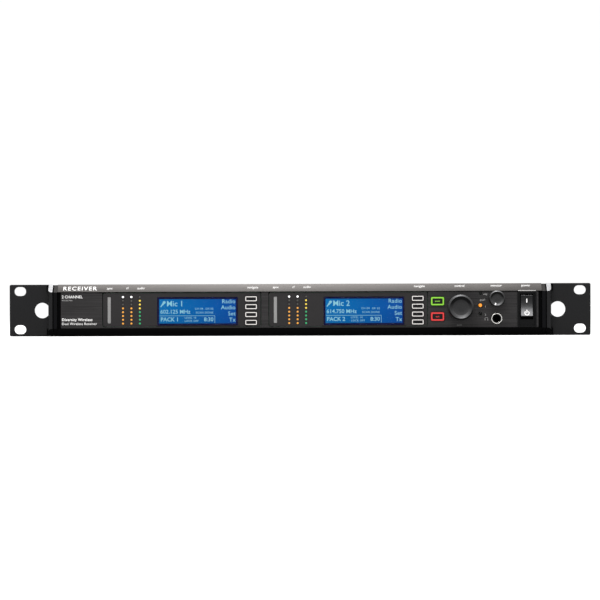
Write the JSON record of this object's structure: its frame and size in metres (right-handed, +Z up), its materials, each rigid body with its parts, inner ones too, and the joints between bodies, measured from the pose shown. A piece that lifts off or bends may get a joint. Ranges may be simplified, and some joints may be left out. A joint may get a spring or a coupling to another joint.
{
  "type": "dual wireless receiver",
  "caption": "Rack-mount dual wireless receiver with two display sections, soft keys, control and monitor knobs, headphone socket and mains rocker.",
  "frame": {"origin": "middle of the bounding box at the underside", "axes": "+X to the right as seen from the front, front faces -Y, +Z up"},
  "size_m": [0.4826, 0.333, 0.043],
  "materials": {
    "black_steel": "satin black textured paint on folded steel",
    "anodised_aluminium": "satin black anodised extrusion",
    "fascia_film": "dark grey anodised, finely brushed along its length",
    "insert_plastic": "dark grey, fine texture",
    "sync_window": "grey translucent",
    "light_pipe": "translucent",
    "display_glass": "clear over a blue backlit display",
    "zinc_steel": "zinc plated",
    "key_plastic": "black with a pale lit border",
    "green_key": "green border round a black middle",
    "red_key": "red border round a black middle",
    "knob_plastic": "soft black",
    "nickel": "nickel plated",
    "black_plastic": "satin black",
    "circuit_board": "green solder mask"
  },
  "bodies": {
    "chassis": {"chassis_tray": "black_steel", "top_cover": "black_steel", "rear_panel": "black_steel", "rack_ear_left": "black_steel", "rack_ear_right": "black_steel", "ear_screw_left": "black_steel", "ear_screw_right": "black_steel", "front_extrusion": "anodised_aluminium", "end_cap_left": "anodised_aluminium", "end_cap_right": "anodised_aluminium", "fascia_panel": "fascia_film", "channel_insert_1": "insert_plastic", "channel_insert_2": "insert_plastic", "sync_window_1": "sync_window", "sync_window_2": "sync_window", "meter_light_pipe_1": "light_pipe", "meter_light_pipe_2": "light_pipe", "monitor_light_pipe": "light_pipe", "display_lens_1": "display_glass", "display_lens_2": "display_glass", "lcd_module_1": "zinc_steel", "lcd_module_2": "zinc_steel", "control_encoder": "zinc_steel", "monitor_volume_body": "zinc_steel", "tuner_module_1": "zinc_steel", "tuner_module_2": "zinc_steel", "network_jack": "zinc_steel", "headphone_jack_bushing": "nickel", "antenna_jack_a": "nickel", "antenna_jack_b": "nickel", "cascade_jack_a": "nickel", "cascade_jack_b": "nickel", "line_output_1": "nickel", "line_output_2": "nickel", "headphone_jack_body": "black_plastic", "power_switch_frame": "black_plastic", "xlr_output_1": "black_plastic", "xlr_output_2": "black_plastic", "mains_inlet": "black_plastic", "main_board": "circuit_board", "front_board": "circuit_board", "power_supply": "circuit_board"},
    "navigate_key_1_1": {"navigate_key_1_1": "key_plastic"},
    "navigate_key_1_2": {"navigate_key_1_2": "key_plastic"},
    "navigate_key_1_3": {"navigate_key_1_3": "key_plastic"},
    "navigate_key_1_4": {"navigate_key_1_4": "key_plastic"},
    "navigate_key_2_1": {"navigate_key_2_1": "key_plastic"},
    "navigate_key_2_2": {"navigate_key_2_2": "key_plastic"},
    "navigate_key_2_3": {"navigate_key_2_3": "key_plastic"},
    "navigate_key_2_4": {"navigate_key_2_4": "key_plastic"},
    "enter_key": {"enter_key": "green_key"},
    "exit_key": {"exit_key": "red_key"},
    "control_rotor": {"control_rotor": "zinc_steel"},
    "control_knob": {"control_knob": "knob_plastic", "control_shaft": "zinc_steel"},
    "monitor_rotor": {"monitor_rotor": "zinc_steel"},
    "monitor_knob": {"monitor_knob": "knob_plastic", "monitor_shaft": "zinc_steel"},
    "power_rocker": {"power_rocker": "black_plastic"}
  },
  "joints": [
    {"name": "navigate_key_1_1_press", "type": "slide", "parent": "chassis", "child": "navigate_key_1_1", "axis": [0, 1, 0], "range_m": [0, 0.0008], "stiffness_N_per_m": 1500, "springref_m": -0.0003},
    {"name": "navigate_key_1_2_press", "type": "slide", "parent": "chassis", "child": "navigate_key_1_2", "axis": [0, 1, 0], "range_m": [0, 0.0008], "stiffness_N_per_m": 1500, "springref_m": -0.0003},
    {"name": "navigate_key_1_3_press", "type": "slide", "parent": "chassis", "child": "navigate_key_1_3", "axis": [0, 1, 0], "range_m": [0, 0.0008], "stiffness_N_per_m": 1500, "springref_m": -0.0003},
    {"name": "navigate_key_1_4_press", "type": "slide", "parent": "chassis", "child": "navigate_key_1_4", "axis": [0, 1, 0], "range_m": [0, 0.0008], "stiffness_N_per_m": 1500, "springref_m": -0.0003},
    {"name": "navigate_key_2_1_press", "type": "slide", "parent": "chassis", "child": "navigate_key_2_1", "axis": [0, 1, 0], "range_m": [0, 0.0008], "stiffness_N_per_m": 1500, "springref_m": -0.0003},
    {"name": "navigate_key_2_2_press", "type": "slide", "parent": "chassis", "child": "navigate_key_2_2", "axis": [0, 1, 0], "range_m": [0, 0.0008], "stiffness_N_per_m": 1500, "springref_m": -0.0003},
    {"name": "navigate_key_2_3_press", "type": "slide", "parent": "chassis", "child": "navigate_key_2_3", "axis": [0, 1, 0], "range_m": [0, 0.0008], "stiffness_N_per_m": 1500, "springref_m": -0.0003},
    {"name": "navigate_key_2_4_press", "type": "slide", "parent": "chassis", "child": "navigate_key_2_4", "axis": [0, 1, 0], "range_m": [0, 0.0008], "stiffness_N_per_m": 1500, "springref_m": -0.0003},
    {"name": "enter_key_press", "type": "slide", "parent": "chassis", "child": "enter_key", "axis": [0, 1, 0], "range_m": [0, 0.0008], "stiffness_N_per_m": 1500, "springref_m": -0.0003},
    {"name": "exit_key_press", "type": "slide", "parent": "chassis", "child": "exit_key", "axis": [0, 1, 0], "range_m": [0, 0.0008], "stiffness_N_per_m": 1500, "springref_m": -0.0003},
    {"name": "control_knob_turn", "type": "hinge", "parent": "chassis", "child": "control_rotor", "pos_m": [0.1332, -0.1473, 0.0231], "axis": [0, 1, 0], "continuous": true},
    {"name": "control_knob_press", "type": "slide", "parent": "control_rotor", "child": "control_knob", "axis": [0, 1, 0], "range_m": [0, 0.0007], "stiffness_N_per_m": 2500, "springref_m": -0.0003},
    {"name": "monitor_knob_turn", "type": "hinge", "parent": "chassis", "child": "monitor_rotor", "pos_m": [0.163, -0.1473, 0.0302], "axis": [0, 1, 0], "range_deg": [0, 300]},
    {"name": "monitor_knob_press", "type": "slide", "parent": "monitor_rotor", "child": "monitor_knob", "axis": [0, 1, 0], "range_m": [0, 0.0007], "stiffness_N_per_m": 2500, "springref_m": -0.0003},
    {"name": "power_rocker_tilt", "type": "hinge", "parent": "chassis", "child": "power_rocker", "pos_m": [0.1881, -0.148, 0.0236], "axis": [1, 0, 0], "range_deg": [0, 18]}
  ]
}
